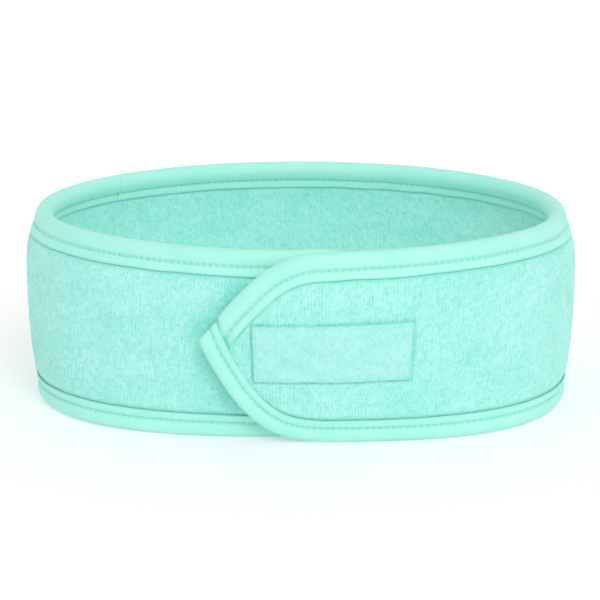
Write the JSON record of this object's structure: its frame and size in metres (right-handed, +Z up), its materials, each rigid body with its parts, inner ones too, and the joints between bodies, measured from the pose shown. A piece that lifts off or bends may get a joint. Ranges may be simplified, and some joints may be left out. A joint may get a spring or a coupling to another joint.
{
  "type": "spa headband",
  "caption": "Soft terry headband with bound edges, closed into a ring by a pointed hook-and-loop flap at the front.",
  "frame": {"origin": "on the surface the ring stands on, under the middle of the closed ring", "axes": "+Z up along the band's height, the flap at the front towards -Y, +X to the right as the flap is faced"},
  "size_m": [0.2008, 0.1746, 0.07],
  "materials": {
    "terry": "matte",
    "binding": "matte",
    "thread": "matte",
    "loop_tape": "matte",
    "hook_tape": "satin"
  },
  "bodies": {
    "back": {"back_outer_terry": "terry", "back_inner_terry": "terry", "back_top_binding": "binding", "back_top_needle_thread": "thread", "back_top_bobbin_thread": "thread", "back_bottom_binding": "binding", "back_bottom_needle_thread": "thread", "back_bottom_bobbin_thread": "thread"},
    "right_arm": {"right_arm_outer_terry": "terry", "right_arm_inner_terry": "terry", "right_arm_top_binding": "binding", "right_arm_top_needle_thread": "thread", "right_arm_top_bobbin_thread": "thread", "right_arm_bottom_binding": "binding", "right_arm_bottom_needle_thread": "thread", "right_arm_bottom_bobbin_thread": "thread"},
    "left_arm": {"left_arm_outer_terry": "terry", "left_arm_inner_terry": "terry", "left_arm_top_binding": "binding", "left_arm_top_needle_thread": "thread", "left_arm_top_bobbin_thread": "thread", "left_arm_bottom_binding": "binding", "left_arm_bottom_needle_thread": "thread", "left_arm_bottom_bobbin_thread": "thread"},
    "flap": {"flap_outer_terry": "terry", "flap_inner_terry": "terry", "flap_top_binding": "binding", "flap_top_needle_thread": "thread", "flap_top_bobbin_thread": "thread", "flap_bottom_binding": "binding", "flap_bottom_needle_thread": "thread", "flap_bottom_bobbin_thread": "thread", "loop_patch": "loop_tape", "loop_patch_stitching": "thread", "hook_patch": "hook_tape", "hook_patch_stitching": "thread"}
  },
  "joints": [
    {"name": "right_arm_open", "type": "hinge", "parent": "back", "child": "right_arm", "pos_m": [0.0911, 0.0375, 0.035], "axis": [0, 0, 1], "range_deg": [0, 70]},
    {"name": "left_arm_open", "type": "hinge", "parent": "back", "child": "left_arm", "pos_m": [-0.0915, 0.0375, 0.035], "axis": [0, 0, -1], "range_deg": [0, 35]},
    {"name": "flap_peel", "type": "hinge", "parent": "right_arm", "child": "flap", "pos_m": [0.0658, -0.0683, 0.035], "axis": [0, 0, 1], "range_deg": [0, 120]}
  ],
  "couplings": [
    {"joint": "left_arm_open", "follows": "right_arm_open", "ratio": 0.5}
  ]
}
